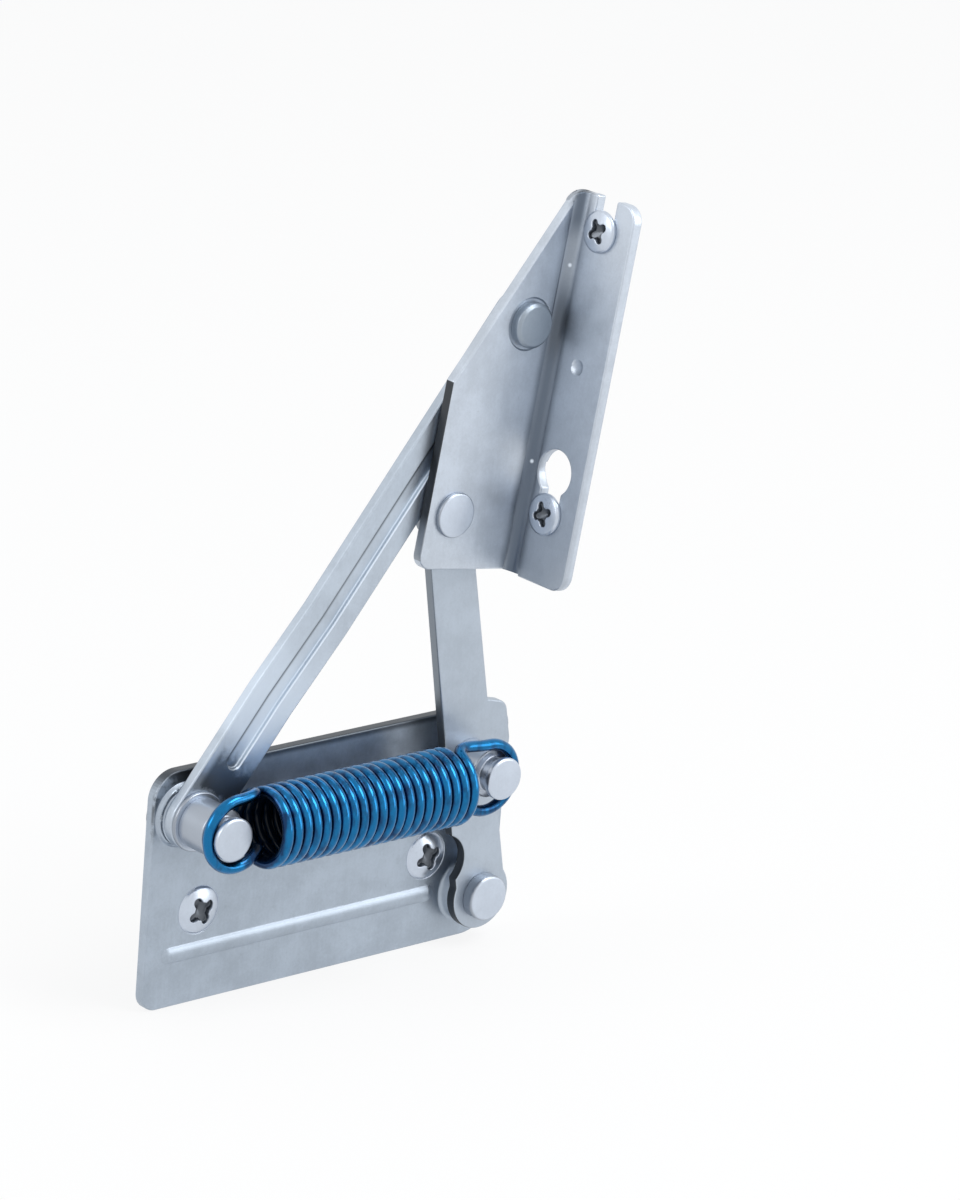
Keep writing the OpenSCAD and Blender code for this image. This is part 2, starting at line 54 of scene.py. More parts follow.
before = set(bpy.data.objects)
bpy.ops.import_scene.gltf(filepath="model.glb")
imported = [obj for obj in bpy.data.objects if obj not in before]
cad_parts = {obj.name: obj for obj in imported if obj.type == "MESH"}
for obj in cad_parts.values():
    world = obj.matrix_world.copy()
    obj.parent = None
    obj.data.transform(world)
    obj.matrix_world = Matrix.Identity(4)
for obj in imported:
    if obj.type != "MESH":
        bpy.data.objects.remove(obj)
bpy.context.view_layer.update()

from math import asin, atan2, cos, hypot, pi, radians, sin

import bmesh
import bpy
import numpy as np
from bpy.props import FloatProperty, FloatVectorProperty, IntProperty, PointerProperty
from mathutils import Matrix, Vector

MM = 0.001
ROUND_MOST = 0.8  # mm, the bevel that an edge weight of 1 stands for
MERGE = 2e-6  # m, between points of a solid's mesh that are one
SLIVER = 0.11 * MM  # edges at the ends of the bend that are shorter are merged
FLAT, SHARP = radians(0.4), radians(28)  # flatter edges go, sharper edges are rounded

# Stage, in metres
CAMERA_AT = (-0.609411, -0.701802, 0.360595)
CAMERA_TURN = (radians(-42.544), radians(18.361), radians(4.642))  # azimuth, elevation, roll
CAMERA_LENS, SENSOR = 175.704, 36.0  # mm, the sensor along the picture's longer side
LAMP_TARGET = (0.005, -0.008, 0.05)
KEY_LAMP, FILL_LAMP, LEFT_LAMP = (0.35, -0.50, 0.95), (0.65, -0.8, 0.35), (-0.9, 0.25, 0.55)
WHITE, SKY = (1.0, 1.0, 1.0, 1.0), (0.97, 0.985, 1.0, 1.0)


def low(node):
    """Lowest corner of a CAD node, in mm."""
    return np.array(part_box(node)[0]) / MM


def high(node):
    """Highest corner of a CAD node, in mm."""
    return np.array(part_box(node)[1]) / MM


def middle(node):
    """Middle of a CAD node's box, in mm. For a turned piece that is a point of its axis."""
    return (low(node) + high(node)) / 2


PIVOT_A = middle("arm_washer")
PIVOT_B = middle("base_rivet")
PIVOT_C = middle("upper_lid_rivet")
PIVOT_D = middle("lower_lid_rivet")
POST_E = middle("link_spring_post")
PLATE_LOW, PLATE_HIGH = low("base_plate"), high("base_plate")

# Numbers of the solids and of the turned pieces, in mm
EAST, NORTH, UP = np.eye(3)
SHEET = 2.0
LEAN = radians(8.3422)  # of the lid bracket, from upright
OUT = np.array([cos(LEAN), 0.0, -sin(LEAN)])  # square to the flange, away from the bracket
ALONG = np.array([sin(LEAN), 0.0, cos(LEAN)])  # up the flange
FLANGE_FACE = np.array([36.597, 0.0, 62.1383])  # outer face, level with the lower rivet
FLANGE_MIDDLE, BEND_HALF = 22.5, 27.5  # along the flange; beyond the second lie the bend's two ends
BEND_OUT, BEND_Y = -3.97, -10.67  # where the bend begins, out from the flange's face and in depth
BRACKET_Y = -8.7  # the bracket's front face
HOLE_NEAR, HOLE_ROUND = 3.3, 0.15  # how near a pivot its hole's edges lie, and their rounding
BOSS_HOLE, BOSS_R = 3.6, 6.0  # round a pivot of the plate: its hole's edges and its boss lie within
BEAD_UP, BEAD_HALF = 9.4, 2.0  # the bead's middle above the plate's lower edge; its edges lie within
BEAD_END = 5.9  # how far left of pivot B the bead's edges stop
BASE_SCREW_X = 25.0
BASE_HEAD_R, BASE_SHANK_R, BASE_SHANK = 4.3, 2.25, 4.4
LID_HEAD_R, LID_SHANK_R, LID_SHANK = 3.6, 1.75, 4.35
LID_SIDE, LID_NECK_R = 0.75, 1.55
LID_LINE = -14.5  # depth of the lid screws
LID_SCREW_UP = (1.65, 50.65)  # along the flange
PITCH, THREAD = 1.6, 0.5  # of the screws, and the thread's depth
WING_HEAD_R = 4.0  # radius of the head on which the recess is as wide as its setting says
RIVET_R, TAIL_R = 2.5, 3.5  # a rivet's shank and its closed end at the back
BASE_RIVET_R, LID_RIVET_R = 4.1, 3.95  # rivet heads
BASE_TAIL, STRIP_TAIL = 1.8, 0.8  # depths of the closed ends
WASHER_R, WASHER_BORE_R = 5.2, 2.95
POST_R, POST_HEAD_R, POST_NECK_R, POST_SHANK_R, POST_TAIL_R = 4.4, 3.75, 2.85, 2.9, 3.7
POST_GROOVE = (1.2, 3.5)  # the groove begins and ends this far behind the post's front
GROOVE_Y = -13.65  # the spring's middle plane
COIL_IN_A, COIL_IN_E = 6.6, 9.9  # from each post to the wound body
SPRING_OUTER = 13.9
LOOP_GAP = 0.03  # between a loop and its post's neck


# ---------------------------------------------------------------- properties


def colour(name, words, default):
    """A colour that the panel shows."""
    return FloatVectorProperty(name=name, description=words, default=default, size=3,
                               min=0.0, max=1.0, subtype="COLOR")


def length(name, words, millimetres):
    """A length that the panel shows, kept in metres."""
    return FloatProperty(name=name, description=words, default=millimetres * MM, min=0.0,
                         subtype="DISTANCE", unit="LENGTH", precision=4)


class BenchHingeSteel(bpy.types.PropertyGroup):
    # zinc, zinc_strips and zinc_lid are copies of one plating, each lighter or darker by the light its piece
    # gets: painted light
    zinc: colour("Zinc", "Plated sheet steel of the base plate", (0.405, 0.465, 0.54))
    zinc_strips: colour("Strip Zinc", "Plated steel of the arm and the link", (0.46, 0.52, 0.595))
    zinc_lid: colour("Lid Zinc", "Plated sheet steel of the lid bracket", (0.545, 0.60, 0.675))
    # the upper rivet's darker zinc is painted shade
    zinc_rivet_shade: colour("Shaded Rivet Zinc", "Zinc of the upper rivet, darkened as painted shade", (0.315, 0.365, 0.425))
    bright: colour("Bright Zinc", "Turned posts, rivets and screws", (0.56, 0.62, 0.71))
    edge: length("Edge Rounding", "Radius of the sheared edges of the sheet", 0.32)
    press: length("Press Rounding", "Radius along the rims of the pressed bosses", 0.75)
    mottle: length("Mottling", "Size of the cloudy patches in the plating", 2.4)
    grain: length("Grain", "Size of the fine grain in the plating", 0.28)


class BenchHingeSpring(bpy.types.PropertyGroup):
    # crest and flank are lit and shaded copies of one blue plating: a painted highlight and painted shade
    crest: colour("Crest", "Blue plating, lit as a painted highlight on the outside of the wound wire", (0.001, 0.142, 0.345))
    flank: colour("Flank", "Blue plating in painted shade between the turns", (0.001, 0.030, 0.100))
    wire: length("Wire", "Diameter of the spring's wire", 1.98)
    turns: IntProperty(name="Turns", description="Whole turns of the wound body", default=21, min=3,
                       max=60)
    bend: length("Loop Bend", "Length over which the wire turns from the body into a loop", 2.2)
    sweep: FloatProperty(name="Loop Sweep", description="Angle that each end loop goes round",
                         default=radians(235), subtype="ANGLE", unit="ROTATION")


class BenchHingeScrews(bpy.types.PropertyGroup):
    wing: length("Recess Wing", "Half the width of a wing of the cross recess", 0.95)
    depth: length("Recess Depth", "Depth of the recess in the middle", 1.7)
    dome: length("Base Dome", "Height of a base screw's raised head", 1.2)
    lid_dome: length("Lid Dome", "Height of the dome on a lid screw's head", 0.5)


class BenchHingeStage(bpy.types.PropertyGroup):
    floor: colour("Floor", "Pale floor and backdrop", (0.86, 0.87, 0.88))
    world: FloatProperty(name="World", description="Strength of the soft light from all round",
                         default=0.62, min=0.0)
    key: FloatProperty(name="Key Lamp", description="Power of the large lamp", default=5.2, min=0.0,
                       unit="POWER")
    fill: FloatProperty(name="Fill Lamps", description="Power of each lamp at the sides", default=2.4,
                        min=0.0, unit="POWER")


# ---------------------------------------------------------------- materials


class Sock:
    """An output socket that is used in sums like a number; each sum adds a Math node."""

    def __init__(self, graph, out):
        self.graph, self.out = graph, out

    def maths(self, operation, a, b=0.0, clamp=False):
        return self.graph.node("ShaderNodeMath", {"operation": operation, "use_clamp": clamp},
                               {0: a, 1: b})

    def __add__(self, other):
        return self.maths("ADD", self, other)

    def __radd__(self, other):
        return self.maths("ADD", other, self)

    def __sub__(self, other):
        return self.maths("SUBTRACT", self, other)

    def __rsub__(self, other):
        return self.maths("SUBTRACT", other, self)

    def __mul__(self, other):
        return self.maths("MULTIPLY", self, other)

    def __rmul__(self, other):
        return self.maths("MULTIPLY", other, self)

    def __truediv__(self, other):
        return self.maths("DIVIDE", self, other)

    def __rtruediv__(self, other):
        return self.maths("DIVIDE", other, self)

    def clamp(self):
        return self.maths("ADD", self, 0.0, clamp=True)


class Graph:
    """The node tree of a material or of the world."""

    def __init__(self, owner):
        owner.use_nodes = True
        self.tree = owner.node_tree
        self.tree.nodes.clear()

    def node(self, kind, settings=None, sockets=None, out=0):
        """Adds a node, sets its own settings first and then its sockets to values or links."""
        node = self.tree.nodes.new(kind)
        for name, value in (settings or {}).items():
            setattr(node, name, value)
        for name, value in (sockets or {}).items():
            if isinstance(value, Sock):
                self.tree.links.new(value.out, node.inputs[name])
            else:
                node.inputs[name].default_value = value
        return Sock(self, node.outputs[out]) if len(node.outputs) else None

    def spot(self):
        """Object coordinates, in metres."""
        return self.node("ShaderNodeTexCoord", out="Object")

    def place(self, scale=(1.0, 1.0, 1.0)):
        """Object coordinates, in metres, times scale."""
        return self.node("ShaderNodeMapping", None, {"Vector": self.spot(), "Scale": scale})

    def noise(self, size, detail=2.0, roughness=0.5, at=None):
        """Cloudy pattern from 0 to 1 whose patches are about size metres across."""
        return self.node("ShaderNodeTexNoise", None,
                         {"Vector": at or self.place(), "Scale": 0.6 / size, "Detail": detail,
                          "Roughness": roughness})

    def ramp(self, value, start, end):
        """0 below start, 1 above end, smooth between."""
        return self.node("ShaderNodeMapRange", {"interpolation_type": "SMOOTHSTEP"},
                         {"Value": value, "From Min": start, "From Max": end,
                          "To Min": 0.0, "To Max": 1.0})

    def mix(self, factor, a, b):
        """Colour a turned into b by factor. Sockets 6 and 7 are the node's two colours."""
        a = (*a, 1.0) if isinstance(a, tuple) else a
        b = (*b, 1.0) if isinstance(b, tuple) else b
        return self.node("ShaderNodeMix", {"data_type": "RGBA"}, {0: factor, 6: a, 7: b}, out=2)

    def band(self, value, start, full, last, end):
        """0 below start, 1 from full to last, 0 above end."""
        return self.ramp(value, start, full) * (1.0 - self.ramp(value, last, end))

    def reach(self, way, origin=(0.0, 0.0, 0.0)):
        """How far a point of the piece lies from origin along the unit vector way, in mm."""
        along = self.node("ShaderNodeVectorMath", {"operation": "DOT_PRODUCT"},
                          {0: self.spot(), 1: tuple(way)}, out="Value")
        return along / MM - float(np.dot(way, origin))

    def away(self, point):
        """Distance of a point of the piece from the given one, in mm."""
        return self.node("ShaderNodeVectorMath", {"operation": "DISTANCE"},
                         {0: self.spot(), 1: [c * MM for c in point]}, out="Value") / MM

    def mark(self):
        """The piece's own attribute: sheared sides, dark partly as sheared edge and partly as painted shade;
        a turned wall or a recess, darkened as painted shade; or the wire's outside, for its painted
        highlight.
        """
        return self.node("ShaderNodeAttribute", {"attribute_name": "mark"}, out="Fac")


def tinted(shade, factor):
    """A colour times one factor, or times one for each of red, green and blue."""
    return tuple(np.minimum(1.0, np.array(shade) * factor).tolist())


def plated_steel(name, steel, shade, rough, mottle, marks=None):
    """Zinc-plated steel: soft patches, a fine grain, faint rolling lines and small dark specks.
    marks(graph) gives pairs of a factor and a tint, which are laid over the plating in turn."""
    material = bpy.data.materials.new(name)
    g = Graph(material)
    cloud = g.noise(steel.mottle * 3.0, 3.0, 0.5)
    patch = g.noise(steel.mottle, 4.0, 0.6)
    grain = g.noise(steel.grain, 3.0, 0.65)
    lines = g.noise(steel.grain * 1.4, 3.0, 0.6, at=g.place(scale=(1.0, 1.0, 0.06)))
    specks = g.ramp(g.noise(steel.mottle / 3.6, 2.0, 0.5), 0.67, 0.76)
    tone = (cloud * 0.34 + patch * 0.34 + grain * 0.22 + lines * 0.10).clamp()
    spread = 0.09 * mottle
    body = g.mix(g.ramp(tone, 0.36, 0.64), tinted(shade, 1.0 - spread), tinted(shade, 1.0 + spread))
    body = g.mix(specks * 0.14 * mottle, body, tinted(shade, 0.6))
    gloss = (patch - 0.5) * 0.12 + (grain - 0.5) * 0.08 + rough
    for factor, tint in (marks(g) if marks else ()):
        body = g.mix(factor, body, tinted(shade, tint))
    height = grain * 0.7 + patch * 0.8 + lines * 0.3
    bump = g.node("ShaderNodeBump", None, {"Strength": 0.35, "Distance": 0.06 * MM, "Height": height})
    shader = g.node("ShaderNodeBsdfPrincipled", None,
                    {"Base Color": body, "Metallic": 0.92, "Roughness": gloss, "Normal": bump})
    g.node("ShaderNodeOutputMaterial", None, {"Surface": shader})
    return material


def by_mark(share, tint):
    """Marks for plated_steel that tint a piece by its own attribute alone."""
    return lambda g: [(g.mark() * share, tint)]


def blue_wire(name, spring):
    """Blue-plated spring wire, cloudy and streaked: glossy and brightest on its crests, a painted highlight,
    and matt and nearly black where it looks into the coil, painted shade."""
    material = bpy.data.materials.new(name)
    g = Graph(material)
    cloud = g.noise(2.6 * MM, 3.0, 0.6)
    fine = g.noise(0.5 * MM, 3.0, 0.6)
    streak = g.noise(1.1 * MM, 3.0, 0.6, at=g.place(scale=(1.0, 1.0, 0.35)))
    uneven = (cloud - 0.5) * 1.7 + (streak - 0.5) * 3.4
    crest = (g.ramp(g.mark(), 0.64, 1.0) + uneven - 0.03).clamp()
    inside = g.ramp(g.mark(), 0.5, 0.15)
    body = g.mix(crest, tuple(spring.flank), tuple(spring.crest))
    body = g.mix(inside * 0.9, body, tinted(spring.flank, 0.2))
    bump = g.node("ShaderNodeBump", None, {"Strength": 0.25, "Distance": 0.04 * MM, "Height": fine})
    rough = cloud * 0.12 + inside * 0.6 + 0.14
    shader = g.node("ShaderNodeBsdfPrincipled", None,
                    {"Base Color": body, "Metallic": 0.95, "Roughness": rough,
                     "Coat Weight": 0.3, "Coat Roughness": 0.1, "Normal": bump})
    g.node("ShaderNodeOutputMaterial", None, {"Surface": shader})
    return material


# ---------------------------------------------------------------- surfaces


def smooth_step(x):
    """0 below 0, 1 above 1, and 3x^2 - 2x^3 between."""
    x = np.clip(x, 0.0, 1.0)
    return x * x * (3.0 - 2.0 * x)


def quads(rows, columns):
    """Corner numbers of a grid's faces: (i, j), (i+1, j), (i+1, j+1), (i, j+1), with j closed."""
    i, j = np.meshgrid(np.arange(rows - 1), np.arange(columns), indexing="ij")
    k = (j + 1) % columns
    here, below = i * columns, (i + 1) * columns
    return np.stack([here + j, below + j, below + k, here + k], -1).reshape(-1, 4)


def surface_mesh(name, grids, marks=None):
    """One mesh, in metres, from closed grids of points in mm, with merged poles and faces that point
    outwards. marks gives each point's value of the attribute "mark", grid by grid."""
    points, faces, start = [], [], 0
    for grid in grids:
        points.append(grid.reshape(-1, 3))
        faces.append(quads(grid.shape[0], grid.shape[1]) + start)
        start += grid.shape[0] * grid.shape[1]
    mesh = bpy.data.meshes.new(name)
    mesh.from_pydata((np.concatenate(points) * MM).tolist(), [], np.concatenate(faces).tolist())
    if marks is not None:
        layer = mesh.attributes.new("mark", "FLOAT", "POINT")
        values = np.concatenate([mark.ravel() for mark in marks]).astype(np.float32)
        layer.data.foreach_set("value", values)
    bm = bmesh.new()
    bm.from_mesh(mesh)
    bmesh.ops.remove_doubles(bm, verts=bm.verts, dist=1e-7)
    bmesh.ops.recalc_face_normals(bm, faces=bm.faces)
    bm.to_mesh(mesh)
    bm.free()
    return mesh


def rounded(corners, radius, steps=5):
    """A run of straight lines whose inner corners are arcs. An arc from p to e about corner q is the
    curve ((1-s)^2 p + 2 w s (1-s) q + s^2 e) / ((1-s)^2 + 2 w s (1-s) + s^2), with w the sine of half
    the corner."""
    corners = [np.array(c, float) for c in corners]
    radii = radius if isinstance(radius, (list, tuple)) else [radius] * (len(corners) - 2)
    s = np.linspace(0.0, 1.0, steps + 1)[:, None]
    run = [corners[0][None]]
    for before, q, after, r in zip(corners, corners[1:], corners[2:], radii):
        a, b = before - q, after - q
        la, lb = np.linalg.norm(a), np.linalg.norm(b)
        half = np.arccos(np.clip(a @ b / (la * lb), -1, 1)) / 2
        reach = min(r / np.tan(half), 0.48 * la, 0.48 * lb)
        p, e, w = q + a / la * reach, q + b / lb * reach, np.sin(half)
        below = (1 - s) ** 2 + 2 * w * s * (1 - s) + s ** 2
        run.append(((1 - s) ** 2 * p + 2 * w * s * (1 - s) * q + s ** 2 * e) / below)
    run.append(corners[-1][None])
    return np.concatenate(run)


def turned(profile, centre, sides=96):
    """Surface of revolution about Y: the point at s, a is (x0 + r(s) cos a, y(s), z0 + r(s) sin a),
    where r, y follow the profile and x0, z0 are the centre's."""
    a = np.linspace(0.0, 2 * pi, sides, endpoint=False)
    r, y = profile[:, 0:1], profile[:, 1:2]
    return np.stack([centre[0] + r * np.cos(a), y + 0 * a, centre[2] + r * np.sin(a)], -1)


def swept(route, outward, radius, sides=16):
    """Round wire along a route: c(s) + radius (cos a n(s) + sin a b(s)), with n the outward direction
    squared off against the route's tangent, b across both, and half a ball at each end. The second
    grid holds (1 + cos a) / 2, which is 1 along the wire's outside."""
    along = np.gradient(route, axis=0)
    along /= np.linalg.norm(along, axis=1, keepdims=True)
    n = outward - np.sum(outward * along, 1, keepdims=True) * along
    n /= np.linalg.norm(n, axis=1, keepdims=True)
    b = np.cross(along, n)
    turn = np.linspace(pi / 2, 0.0, 6)[:-1, None]
    scale = np.concatenate([np.cos(turn), np.ones((len(route), 1)), np.cos(turn[::-1])])
    shift = np.concatenate([-np.sin(turn) * along[0], np.zeros(route.shape),
                            np.sin(turn[::-1]) * along[-1]])
    pick = np.clip(np.arange(len(scale)) - len(turn), 0, len(route) - 1)
    a = np.linspace(0.0, 2 * pi, sides, endpoint=False)
    ring = np.cos(a)[None, :, None] * n[pick][:, None] + np.sin(a)[None, :, None] * b[pick][:, None]
    grid = (route[pick] + radius * shift)[:, None] + radius * scale[:, :, None] * ring
    return grid, np.broadcast_to(0.5 + 0.5 * np.cos(a), grid.shape[:2])


# ---------------------------------------------------------------- pieces


def add_piece(name, mesh, material, node, body):
    """Shows a mesh as the piece that stands for a CAD node."""
    for face in mesh.polygons:
        face.use_smooth = True
    mesh.materials.clear()
    mesh.materials.append(material)
    piece = bpy.data.objects.new(name, mesh)
    bpy.context.scene.collection.objects.link(piece)
    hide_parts(node)
    if body:
        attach(piece, body)
    return piece


def even_shading(piece):
    """Flat faces stay flat beside rounded edges."""
    keep = piece.modifiers.new("Flat Faces", "WEIGHTED_NORMAL")
    keep.mode, keep.weight, keep.keep_sharp = "FACE_AREA", 60, False


def edge_middle(edge):
    """Middle of a mesh edge, in mm."""
    return (edge.verts[0].co + edge.verts[1].co) / (2 * MM)


def pressed(name, node, material, body, round_at, dark_at=None, bent_at=None):
    """Sheet piece from its solid's own mesh, merged, with each edge's rounding as a bevel weight.
    round_at(middle of an edge in mm, its angle) gives the rounding in mm; outer angles are positive.
    dark_at(middle of a face in mm, its normal) gives the face's mark, how dark the shear and painted shade
    leave it.
    Where bent_at(middle of an edge in mm) is true, slivers are merged before the rounding."""
    mesh = bpy.data.meshes.new(name)
    bm = bmesh.new()
    bm.from_mesh(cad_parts[node].data)
    bmesh.ops.remove_doubles(bm, verts=bm.verts, dist=MERGE)
    bmesh.ops.dissolve_limit(bm, angle_limit=FLAT, verts=bm.verts, edges=bm.edges)
    if bent_at:
        bent = [edge for edge in bm.edges if bent_at(edge_middle(edge))]
        bmesh.ops.dissolve_degenerate(bm, dist=SLIVER, edges=bent)
    layers = bm.edges.layers.float
    weight = layers.get("bevel_weight_edge") or layers.new("bevel_weight_edge")
    for edge in bm.edges:
        if len(edge.link_faces) == 2:
            angle = edge.calc_face_angle_signed(0.0)
            if abs(angle) > SHARP:
                edge[weight] = min(1.0, round_at(edge_middle(edge), angle) / ROUND_MOST)
    if dark_at:
        mark = bm.faces.layers.float.new("mark")
        for face in bm.faces:
            face[mark] = dark_at(face.calc_center_median() / MM, face.normal)
    bm.to_mesh(mesh)
    bm.free()
    piece = add_piece(name, mesh, material, node, body)
    bevel = piece.modifiers.new("Rounded Edges", "BEVEL")
    bevel.limit_method, bevel.width, bevel.segments = "WEIGHT", ROUND_MOST * MM, 4
    bevel.use_clamp_overlap, bevel.loop_slide = False, False
    even_shading(piece)
    return piece


def flat_distance(spot, centre):
    """Distance of two points seen square on to the base plate, in mm."""
    return hypot(spot[0] - centre[0], spot[2] - centre[2])


class HINGE_OT_base_plate(bpy.types.Operator):
    """Base plate: flat sheet with a bead, two pressed bosses and two countersunk holes"""

    bl_idname = "bench_hinge.base_plate"
    bl_label = "Base Plate"

    def execute(self, context):
        steel = context.scene.hinge_steel
        edge, press = steel.edge / MM, steel.press / MM

        def round_at(spot, angle):
            on_boss = min(flat_distance(spot, PIVOT_A), flat_distance(spot, PIVOT_B))
            if on_boss < BOSS_HOLE:
                return HOLE_ROUND
            if on_boss < BOSS_R and spot[1] < -SHEET + 0.1:
                foot = 0.5 if spot[0] > 0 else 0.06  # soft round the right boss, crisp round the left
                return press if angle > 0 else foot
            on_bead = abs(spot[2] - PLATE_LOW[2] - BEAD_UP) < BEAD_HALF
            if on_bead and spot[0] < PIVOT_B[0] - BEAD_END:
                return 0.0
            if hypot(abs(spot[0]) - BASE_SCREW_X, spot[2]) < BASE_HEAD_R + 0.3:
                return 0.1
            return edge if angle > 0 else 0.2

        def marks(g):
            x, z = g.reach(EAST), g.reach(UP)
            front = 1.0 - g.ramp(g.reach(NORTH), -1.7, -1.2)
            cloud = g.noise(1.6 * MM, 4.0, 0.65)
            # painted shade, cloudy, on the upper part of the face, where the spring casts shadow and shows
            # in reflection
            above = g.ramp(z - x * 0.02, 13.5, 18.0) * g.ramp(x, -30.0, -24.0)
            yield (above * (cloud * 2.2 - 0.65)).clamp() * front * 0.5, 0.5
            # dark patches outside the left boss
            around = g.away((PIVOT_A[0], -SHEET, PIVOT_A[2]))
            corner = g.ramp(g.reach((-0.45, 0.0, 0.893), PIVOT_A), -2.0, 3.0)
            ring = g.band(around, 5.6, 6.4, 8.4, 10.5) * g.ramp(cloud, 0.40, 0.56)
            yield ring * corner * front * 0.85, 0.25
            # the upper rim and the sheared upper side, dark partly as sheared edge and partly as painted
            # shade
            yield g.ramp(z, PLATE_HIGH[2] - 1.5, PLATE_HIGH[2] - 0.5) * 0.8, 0.16
            yield g.mark() * 0.85, 0.16

        # the upper side's mark: dark partly as sheared edge and partly as painted shade
        def dark_at(spot, normal):
            return smooth_step((normal[2] - 0.2) / 0.7) * float(spot[1] > -SHEET - 0.01)

        zinc = plated_steel("plate_zinc", steel, tuple(steel.zinc), 0.40, 1.1, marks)
        pressed("base_plate_pressed", "base_plate", zinc, "base", round_at, dark_at)
        return {"FINISHED"}


class HINGE_OT_long_arm(bpy.types.Operator):
    """Long arm: joggled strip with a pressed groove"""

    bl_idname = "bench_hinge.long_arm"
    bl_label = "Long Arm"

    def execute(self, context):
        steel = context.scene.hinge_steel
        edge = steel.edge / MM

        def round_at(spot, angle):
            if min(flat_distance(spot, PIVOT_A), flat_distance(spot, PIVOT_C)) < HOLE_NEAR:
                return HOLE_ROUND
            return edge if angle > 0 else 0.22

        run = PIVOT_C - PIVOT_A
        run = np.array([run[0], 0.0, run[2]]) / hypot(run[0], run[2])
        side = np.array([-run[2], 0.0, run[0]])

        def marks(g):
            up, left = g.reach(run, PIVOT_A), g.reach(side, PIVOT_A)
            cloud = g.noise(1.4 * MM, 4.0, 0.65)
            # painted highlight on the lower part, above a mottled painted shade at the foot where the
            # spring's shadow and reflection fall
            yield g.band(up, 13.0, 17.0, 24.0, 40.0) * 0.6, 1.45
            foot = g.band(up + (cloud - 0.5) * 7.0, 4.0, 5.5, 9.5, 14.0)
            yield foot * (1.0 - g.ramp(left, 3.0, 4.6)) * 0.85, (0.16, 0.17, 0.18)
            # painted shade on the groove's dark flank, painted highlights on its bright flank and its lower
            # end
            groove = g.band(up, 10.6, 11.4, 86.8, 87.6)
            yield g.band(left, 0.5, 1.1, 1.55, 1.95) * groove * 0.85, 0.16
            yield g.band(left, -1.9, -1.65, -1.45, -1.1) * groove * 0.7, 1.7
            end = PIVOT_A + 11.9 * run - 4.6 * NORTH
            rim = g.band(g.away(end), 1.0, 1.35, 1.6, 2.0)
            yield rim * (1.0 - g.ramp(up, 11.2, 12.2)) * 0.7, 1.7

        zinc = plated_steel("arm_zinc", steel, tuple(steel.zinc_strips), 0.40, 0.9, marks)
        pressed("long_arm_pressed", "long_arm", zinc, "arm", round_at)
        return {"FINISHED"}


class HINGE_OT_short_link(bpy.types.Operator):
    """Short link: flat strip with a lug that carries the second spring post"""

    bl_idname = "bench_hinge.short_link"
    bl_label = "Short Link"

    def execute(self, context):
        steel = context.scene.hinge_steel
        edge = steel.edge / MM

        def round_at(spot, angle):
            if min(flat_distance(spot, p) for p in (PIVOT_B, PIVOT_D, POST_E)) < HOLE_NEAR:
                return HOLE_ROUND
            return edge if angle > 0 else 0.2

        def dark_at(spot, normal):
            return smooth_step((-normal[0] - 0.1) / 0.4)

        def marks(g):
            # the sheared left side, dark partly as sheared edge and partly as painted shade, less dark
            # towards its top
            yield g.mark() * (0.93 - g.ramp(g.reach(UP), 20.0, 32.0) * 0.42), 0.08

        # the link's zinc is a shaded copy of the strip zinc: painted shade
        zinc = plated_steel("link_zinc", steel, tinted(steel.zinc_strips, 0.94), 0.41, 0.8, marks)
        pressed("short_link_pressed", "short_link", zinc, "link", round_at, dark_at)
        return {"FINISHED"}


class HINGE_OT_lid_bracket(bpy.types.Operator):
    """Lid bracket: folded sheet with a keyhole and an open slot in its flange"""

    bl_idname = "bench_hinge.lid_bracket"
    bl_label = "Lid Bracket"

    def execute(self, context):
        steel = context.scene.hinge_steel
        edge = steel.edge / MM

        def bent_at(spot):
            beside = np.array(spot) - FLANGE_FACE
            at_end = abs(np.dot(beside, ALONG) - FLANGE_MIDDLE) > BEND_HALF
            return at_end and np.dot(beside, OUT) > BEND_OUT and spot[1] > BEND_Y

        def round_at(spot, angle):
            if flat_distance(spot, PIVOT_D) < HOLE_NEAR:
                return HOLE_ROUND
            if flat_distance(spot, PIVOT_C) < 5.6:
                return 0.2
            return edge if angle > 0 and not bent_at(spot) else 0.0

        def marks(g):
            u, w, y = g.reach(OUT, FLANGE_FACE), g.reach(ALONG, FLANGE_FACE), g.reach(NORTH)
            inner = (1.0 - g.ramp(y, -8.2, -7.4)) * (1.0 - g.ramp(u, -1.3, -0.7))
            # painted shade on the lower part of the flange
            yield g.ramp(u, -3.0, -2.2) * (1.0 - g.ramp(w, -10.0, 38.0)) * inner * 0.3, 0.5
            # painted shade: a dark band along the fold, darker beside the upper rivet
            fold, fade = u - y, (0.92 - g.band(w, 36.0, 44.0, 47.0, 52.0) * 0.35) * inner
            yield g.band(fold, 3.0, 6.2, 6.8, 10.0) * fade, (0.17, 0.20, 0.24)
            beside_rivet = g.band(w, 25.0, 31.5, 34.0, 41.0)
            yield g.band(fold, 4.6, 5.8, 7.6, 9.2) * beside_rivet * inner * 0.5, 0.15
            # two small bright dots in the fold
            for rise in (9.5, 43.6):
                pip = FLANGE_FACE - 2.3 * OUT + rise * ALONG - 9.0 * NORTH
                yield (1.0 - g.ramp(g.away(pip), 0.35, 0.6)) * 0.8, 1.5
            # the sheared left side, dark partly as sheared edge and partly as painted shade, less dark below
            yield g.mark() * (g.ramp(w, -4.0, 0.0) * 0.5 + 0.45), 0.06

        def dark_at(spot, normal):
            return float(np.dot(normal, OUT) < -0.9 and spot[1] > -9)

        zinc = plated_steel("bracket_zinc", steel, tuple(steel.zinc_lid), 0.39, 1.0, marks)
        pressed("lid_bracket_folded", "lid_bracket", zinc, "lid", round_at, dark_at,
                bent_at)
        return {"FINISHED"}


